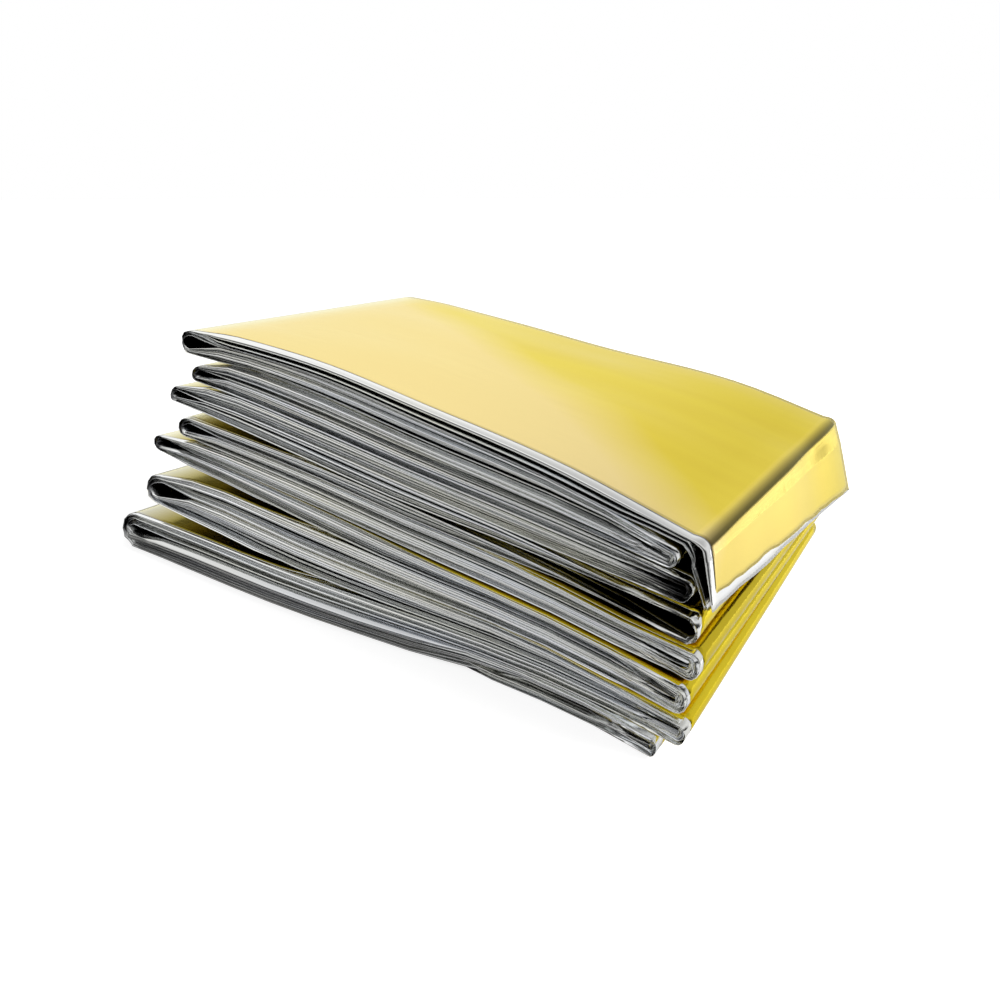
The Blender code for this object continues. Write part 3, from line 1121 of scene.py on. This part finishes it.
def skinned(grid):
    """Return a closed film mesh around a grid: gold on its face, silver on its back."""
    rows, cols = grid.shape[:2]
    down = np.gradient(grid, axis=0)
    over = np.gradient(grid, axis=1)
    normal = np.cross(over, down)
    normal /= np.maximum(np.linalg.norm(normal, axis=2, keepdims=True), 1e-9)
    face_side = grid + FILM_HALF_THICKNESS * normal
    back_side = grid - FILM_HALF_THICKNESS * normal
    verts = np.concatenate((face_side.reshape(-1, 3), back_side.reshape(-1, 3))) * MM
    index = np.arange(rows * cols).reshape(rows, cols)
    under = index + rows * cols
    a, b, c, d = index[:-1, :-1], index[:-1, 1:], index[1:, 1:], index[1:, :-1]
    # Both skins are cut along the same diagonals, so that they stay parallel.
    face = np.stack((a, b, c, a, c, d), axis=2).reshape(-1, 3)
    back = face[:, ::-1] + rows * cols
    rims = []
    for top, low in ((index[0], under[0]), (index[:, -1], under[:, -1]),
                     (index[-1][::-1], under[-1][::-1]), (index[::-1, 0], under[::-1, 0])):
        rims.append(np.stack((top[1:], top[:-1], low[:-1]), axis=1))
        rims.append(np.stack((top[1:], low[:-1], low[1:]), axis=1))
    faces = np.concatenate((face, back, *rims))
    mesh = bpy.data.meshes.new("folded_film")
    mesh.from_pydata(verts.tolist(), [], faces.tolist())
    is_silver = np.zeros(len(faces), dtype=np.int32)
    is_silver[len(face):] = 1
    mesh.polygons.foreach_set("material_index", is_silver)
    mesh.polygons.foreach_set("use_smooth", np.ones(len(faces), dtype=bool))
    return mesh


def add_flat_sheet(mesh, along, across):
    """Add the flat sheet's own coordinates, in metres: across it and along it."""
    flat = np.zeros((len(along), len(across), 2))
    flat[:, :, 0] = across[None, :] * MM
    flat[:, :, 1] = along[:, None] * MM
    flat = np.concatenate((flat.reshape(-1, 2), flat.reshape(-1, 2)))
    vertex = np.zeros(len(mesh.loops), dtype=np.int32)
    mesh.loops.foreach_get("vertex_index", vertex)
    mesh.uv_layers.new(name="flat sheet").data.foreach_set("uv", flat[vertex].ravel())


def add_values(mesh, name, on_gold, on_silver):
    """Add a named value at every point of the gold skin and of the silver skin."""
    attribute = mesh.attributes.new(name, "FLOAT", "POINT")
    attribute.data.foreach_set("value", np.concatenate((on_gold, on_silver)))


# ---------------------------------------------------------------- finishes
class Amount:
    """A number that varies over a surface; arithmetic on it adds Math nodes."""

    def __init__(self, nodes, socket):
        self.nodes = nodes
        self.socket = socket

    def _math(self, operation, first, second):
        return self.nodes.node("ShaderNodeMath", {"operation": operation}, {0: first, 1: second})

    def __add__(self, other):
        return self._math("ADD", self, other)

    __radd__ = __add__

    def __mul__(self, other):
        return self._math("MULTIPLY", self, other)

    __rmul__ = __mul__

    def __sub__(self, other):
        return self._math("SUBTRACT", self, other)

    def __rsub__(self, other):
        return self._math("SUBTRACT", other, self)


# Noise on the flat sheet: how it is drawn out along the sheet (1 is not at all), its scale,
# its detail and its roughness. Ramp: where a value starts and stops to change what comes
# out, and what comes out there.
Grain = namedtuple("Grain", "lengthwise scale detail roughness")
Ramp = namedtuple("Ramp", "start stop at_start at_stop")


class Nodes:
    """A node tree, built one call a node."""

    # A Mix node's colour sockets share their names with others, so they go by number.
    MIX_FIRST = 6
    MIX_SECOND = 7
    MIX_RESULT = 2

    def __init__(self, tree):
        self.tree = tree

    def node(self, kind, settings=None, inputs=None, output=0):
        """Add a node with its settings and its inputs; return an output, the first if unnamed."""
        made = self.tree.nodes.new(kind)
        for name, value in (settings or {}).items():
            setattr(made, name, value)
        for name, value in (inputs or {}).items():
            self.feed(made.inputs[name], value)
        return Amount(self, made.outputs[output])

    def feed(self, socket, value):
        """Link an amount to a socket, or set the socket to a plain value."""
        if isinstance(value, Amount):
            self.tree.links.new(value.socket, socket)
        else:
            socket.default_value = value

    def parts(self, vector):
        """Return the X, Y and Z of a vector."""
        first = self.node("ShaderNodeSeparateXYZ", {}, {0: vector})
        return [Amount(self, socket) for socket in first.socket.node.outputs]

    def attribute(self, name):
        """Return a value that the mesh carries."""
        return self.node("ShaderNodeAttribute", {"attribute_name": name}, output="Fac")

    def flat_sheet(self):
        """Return the flat sheet's coordinates."""
        return self.node("ShaderNodeUVMap", {"uv_map": "flat sheet"})

    def noise(self, grain):
        """Return noise with a grain on the flat sheet."""
        place = self.node("ShaderNodeVectorMath", {"operation": "MULTIPLY"},
                          {0: self.flat_sheet(), 1: (1.0, grain.lengthwise, 1.0)})
        return self.node("ShaderNodeTexNoise", {}, {
            "Vector": place, "Scale": grain.scale, "Detail": grain.detail,
            "Roughness": grain.roughness})

    def ranged(self, value, ramp):
        """Return what a ramp gives for a value."""
        return self.node("ShaderNodeMapRange", {"clamp": True}, {
            "Value": value, "From Min": ramp.start, "From Max": ramp.stop,
            "To Min": ramp.at_start, "To Max": ramp.at_stop})

    def blended(self, share, first, second):
        """Return the colour a given share of the way from the first to the second."""
        inputs = {"Factor": share, self.MIX_FIRST: first, self.MIX_SECOND: second}
        return self.node("ShaderNodeMix", {"data_type": "RGBA"}, inputs, self.MIX_RESULT)


class Finish(Nodes):
    """A material and its node tree."""

    def __init__(self, name):
        self.material = bpy.data.materials.new(name)
        self.material.use_nodes = True
        super().__init__(self.material.node_tree)
        self.shader = self.tree.nodes["Principled BSDF"]

    def vary(self, socket, value):
        """Feed one of the shader's sockets with an amount."""
        self.feed(self.shader.inputs[socket], value)

    def keep(self, socket, value):
        """Set one of the shader's sockets to a value that is the same all over."""
        self.shader.inputs[socket].default_value = value


# The film's finishes: its two tones, its painted highlight, its painted shade where the next
# run lies on it, the tint of its edge-on reflection, its roughness and the depth of its fine
# lines.
Film = namedtuple("Film", "name tone other_tone bloom shade edge roughness line_depth")
GOLD_FILM = Film("gold film", (0.86, 0.68, 0.035, 1.0), (0.83, 0.64, 0.03, 1.0),
                 (0.95, 0.755, 0.35, 1.0), (0.05, 0.04, 0.01, 1.0), (1.0, 0.97, 0.7, 1.0),
                 0.15, 0.012)
SILVER_FILM = Film("silver film", (0.92, 0.94, 0.97, 1.0), (0.94, 0.94, 0.89, 1.0),
                   (0.90, 0.90, 0.90, 1.0), (0.03, 0.03, 0.035, 1.0), (1.0, 1.0, 1.0, 1.0),
                   0.11, 0.06)
# Where the sheet turns at the left the gold is painted near white: a painted highlight.
PAINTED_TIP_HIGHLIGHT = (0.97, 0.96, 0.90, 1.0)

# The fine lines along the pleats, the wrinkles across them, the crackle of the creases, the
# blotches of the tone and the wandering edge of the painted highlight.
FINE_LINES = Grain(0.012, 2500.0, 2.0, 0.5)
FILM_WRINKLES = Grain(0.35, 55.0, 3.0, 0.5)
CRACKLE = Grain(1.0, 420.0, 3.0, 0.6)
BLOTCHES = Grain(0.15, 140.0, 2.0, 0.5)
HIGHLIGHT_WANDER = Grain(0.6, 30.0, 2.0, 0.5)
BLOTCH_MIX = Ramp(0.35, 0.65, 0.0, 1.0)
# The heights of the wrinkles and of the crackle, both everywhere and more in the creases,
# and the strength and depth of the bump that all the relief makes.
WRINKLE_HEIGHT = 0.4
CRACKLE_HEIGHT = 0.015
CREASED_HEIGHT = 0.3
BUMP_STRENGTH = 0.5
BUMP_DEPTH = 0.0006
# How much smoother and rougher than its roughness the film is between its fine lines and on
# them, and how much rougher it is under its painted highlight.
LINE_SMOOTHER = 0.03
LINE_ROUGHER = 0.05
HIGHLIGHT_ROUGHER = 0.06

# The painted highlight is a pale field on the top run, left of a slanting line: the line's
# slope and how much it wanders, how it shifts towards the back, and how wide it fades. A thin
# painted highlight lies along the front, and another on the flap, weaker at its back. The sheet
# is measured in metres, across it from the front and along it from the flap's free edge.
HIGHLIGHT_SLOPE = 1.45
HIGHLIGHT_WANDERING = 0.02
HIGHLIGHT_SHIFT = Ramp(0.04, 0.08, 0.0, 0.028)
HIGHLIGHT_EDGE = Ramp(0.006, 0.036, 0.0, 1.0)
FRONT_HIGHLIGHT = Ramp(0.055, 0.02, 0.0, 0.09)
TOP_RUN_HIGHLIGHT = Ramp(0.165, 0.15, 0.0, 1.0)
FLAP_HIGHLIGHT = Ramp(0.0145, 0.0125, 0.0, 0.45)
FLAP_HIGHLIGHT_FRONT = Ramp(0.075, 0.045, 0.3, 1.0)


def painted_film_highlight(finish):
    """Return how much painted highlight lies on the outer face, from 0 to 1."""
    across, along, _ = finish.parts(finish.flat_sheet())
    wander = finish.noise(HIGHLIGHT_WANDER)
    slant = along - across * HIGHLIGHT_SLOPE + wander * HIGHLIGHT_WANDERING
    slant = slant - finish.ranged(across, HIGHLIGHT_SHIFT)
    bloom = finish.ranged(slant, HIGHLIGHT_EDGE) + finish.ranged(across, FRONT_HIGHLIGHT)
    on_top_run = bloom * finish.ranged(along, TOP_RUN_HIGHLIGHT)
    on_flap = finish.ranged(along, FLAP_HIGHLIGHT) * finish.ranged(across, FLAP_HIGHLIGHT_FRONT)
    return on_top_run + on_flap


def film_finish(film):
    """Return a metallised film's material."""
    finish = Finish(film.name)
    lines = finish.noise(FINE_LINES)
    bloom = painted_film_highlight(finish)
    blotches = finish.ranged(finish.noise(BLOTCHES), BLOTCH_MIX)
    plain = finish.blended(blotches, film.tone, film.other_tone)
    # A painted highlight: the colour is blended towards a pale tone on the top run and the flap.
    highlighted = finish.blended(bloom, plain, film.bloom)
    # A painted highlight: near white at the left turns.
    shown = finish.blended(finish.attribute("worn"), highlighted, PAINTED_TIP_HIGHLIGHT)
    finish.vary("Base Color", finish.blended(finish.attribute("shade"), shown, film.shade))
    finish.keep("Metallic", 1.0)
    finish.keep("Specular Tint", film.edge)
    line_roughness = Ramp(0.3, 0.7, film.roughness - LINE_SMOOTHER, film.roughness + LINE_ROUGHER)
    finish.vary("Roughness", finish.ranged(lines, line_roughness) + bloom * HIGHLIGHT_ROUGHER)
    crackle_height = CRACKLE_HEIGHT + finish.attribute("creased") * CREASED_HEIGHT
    height = finish.noise(FILM_WRINKLES) * WRINKLE_HEIGHT + lines * film.line_depth
    height = height + finish.noise(CRACKLE) * crackle_height
    finish.vary("Normal", finish.node("ShaderNodeBump", {}, {
        "Height": height, "Strength": BUMP_STRENGTH, "Distance": BUMP_DEPTH}))
    return finish.material


blanket = bpy.data.objects.new("foil_sheet", built_film())
for film in (GOLD_FILM, SILVER_FILM):
    blanket.data.materials.append(film_finish(film))
bpy.context.scene.collection.objects.link(blanket)
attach(blanket, "root")
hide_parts("foil_blanket")

# ---------------------------------------------------------------- floor, light, camera
FLOOR_RADIUS = 8.0
FLOOR_SIDES = 64
# The floor is white to the eye. What the film mirrors of it is painted: grey near the blanket,
# a painted shade, and lighter from this far behind it, in metres, a painted pool of light.
SHADED_NEAR_FLOOR = (0.25, 0.25, 0.25, 1.0)
LIT_FAR_FLOOR = (0.85, 0.85, 0.85, 1.0)
FLOOR_LIGHTENING = Ramp(0.33, 0.75, 0.0, 1.0)
FLOOR_GLOW = (0.84, 0.84, 0.84, 1.0)
BLACK = (0.0, 0.0, 0.0, 1.0)
WHITE = (1.0, 1.0, 1.0, 1.0)


def floor_finish():
    """Return the floor's material."""
    paint = Finish("pale floor")
    place = paint.node("ShaderNodeTexCoord", output="Object")
    behind = paint.parts(place)[1]
    lightening = paint.ranged(behind, FLOOR_LIGHTENING)
    # Painted shade near the blanket and painted light behind it, for what the film mirrors.
    paint.vary("Base Color", paint.blended(lightening, SHADED_NEAR_FLOOR, LIT_FAR_FLOOR))
    paint.keep("Roughness", 1.0)
    paint.keep("Specular IOR Level", 0.0)
    paint.keep("Emission Strength", 1.0)
    seen = paint.node("ShaderNodeLightPath", output="Is Camera Ray")
    paint.vary("Emission Color", paint.blended(seen, BLACK, FLOOR_GLOW))
    return paint.material


def floor_disc():
    """Return the floor's mesh, a wide disc."""
    corners = []
    for side in range(FLOOR_SIDES):
        angle = 2.0 * math.pi * side / FLOOR_SIDES
        corners.append((FLOOR_RADIUS * math.cos(angle), FLOOR_RADIUS * math.sin(angle), 0.0))
    mesh = bpy.data.meshes.new("floor")
    mesh.from_pydata(corners, [], [tuple(range(FLOOR_SIDES))])
    mesh.materials.append(floor_finish())
    return mesh


floor = bpy.data.objects.new("floor", floor_disc())
bpy.context.scene.collection.objects.link(floor)

# The room's light by direction: lightest at the left, dark low in front, a dark band at the
# horizon except behind, and a little darker straight above.
ROOM_SIDE = Ramp(0.15, -0.55, 0.72, 1.0)
ROOM_FRONT = Ramp(0.1, -0.45, 0.0, 1.0)
ROOM_LOW = Ramp(0.55, 0.25, 0.0, 1.0)
ROOM_HIGH = Ramp(0.6, 0.95, 0.0, 0.35)
FRONT_DARKENING = 0.95
HORIZON = Ramp(0.06, 0.15, 0.9, 0.0)
HORIZON_NOT_BEHIND = Ramp(0.3, 0.0, 0.0, 1.0)


def studio_light():
    """Make the world: a soft room, white to the eye."""
    world = bpy.data.worlds.new("studio")
    world.use_nodes = True
    room = Nodes(world.node_tree)
    x, y, z = room.parts(room.node("ShaderNodeTexCoord", output="Generated"))
    front_low = room.ranged(y, ROOM_FRONT) * room.ranged(z, ROOM_LOW)
    horizon = room.ranged(z, HORIZON) * room.ranged(y, HORIZON_NOT_BEHIND)
    glow = room.ranged(x, ROOM_SIDE) * (1.0 - front_low * FRONT_DARKENING)
    glow = glow * (1.0 - room.ranged(z, ROOM_HIGH)) * (1.0 - horizon)
    seen = room.node("ShaderNodeLightPath", output="Is Camera Ray")
    background = room.tree.nodes["Background"]
    background.inputs["Color"].default_value = WHITE
    room.feed(background.inputs["Strength"], glow * (1.0 - seen) + seen)
    return world


bpy.context.scene.world = studio_light()
bpy.context.scene.view_settings.view_transform = "Standard"

Softbox = namedtuple("Softbox", "name place aim size power")
SOFTBOXES = (
    Softbox("top softbox", (-0.3, 0.4, 1.2), (0.0, 0.0, 0.0), 1.2, 2.0),
    Softbox("back softbox", (0.42, 0.26, 0.45), (0.14, 0.02, 0.0), 0.35, 15.0),
)
for row in SOFTBOXES:
    # A soft square light that makes no highlight of its own.
    light = bpy.data.lights.new(row.name, "AREA")
    light.size = row.size
    light.energy = row.power
    lamp = bpy.data.objects.new(row.name, light)
    lamp.location = row.place
    direction = Vector(row.aim) - Vector(row.place)
    lamp.rotation_euler = direction.to_track_quat("-Z", "Y").to_euler()
    lamp.visible_glossy = False
    bpy.context.scene.collection.objects.link(lamp)

CAMERA_PLACE = (0.10561, -0.14000, 0.08466)
CAMERA_TILT = 67.7
CAMERA_TURN = 35.0
CAMERA_LENS = 27.18
CAMERA_SENSOR = 36.0
NEAREST_SEEN = 0.005
camera_data = bpy.data.cameras.new("camera")
camera_data.sensor_width = CAMERA_SENSOR
camera_data.lens = CAMERA_LENS
camera_data.clip_start = NEAREST_SEEN
camera = bpy.data.objects.new("camera", camera_data)
camera.location = CAMERA_PLACE
camera.rotation_euler = (math.radians(CAMERA_TILT), 0.0, math.radians(CAMERA_TURN))
bpy.context.scene.collection.objects.link(camera)
bpy.context.scene.camera = camera
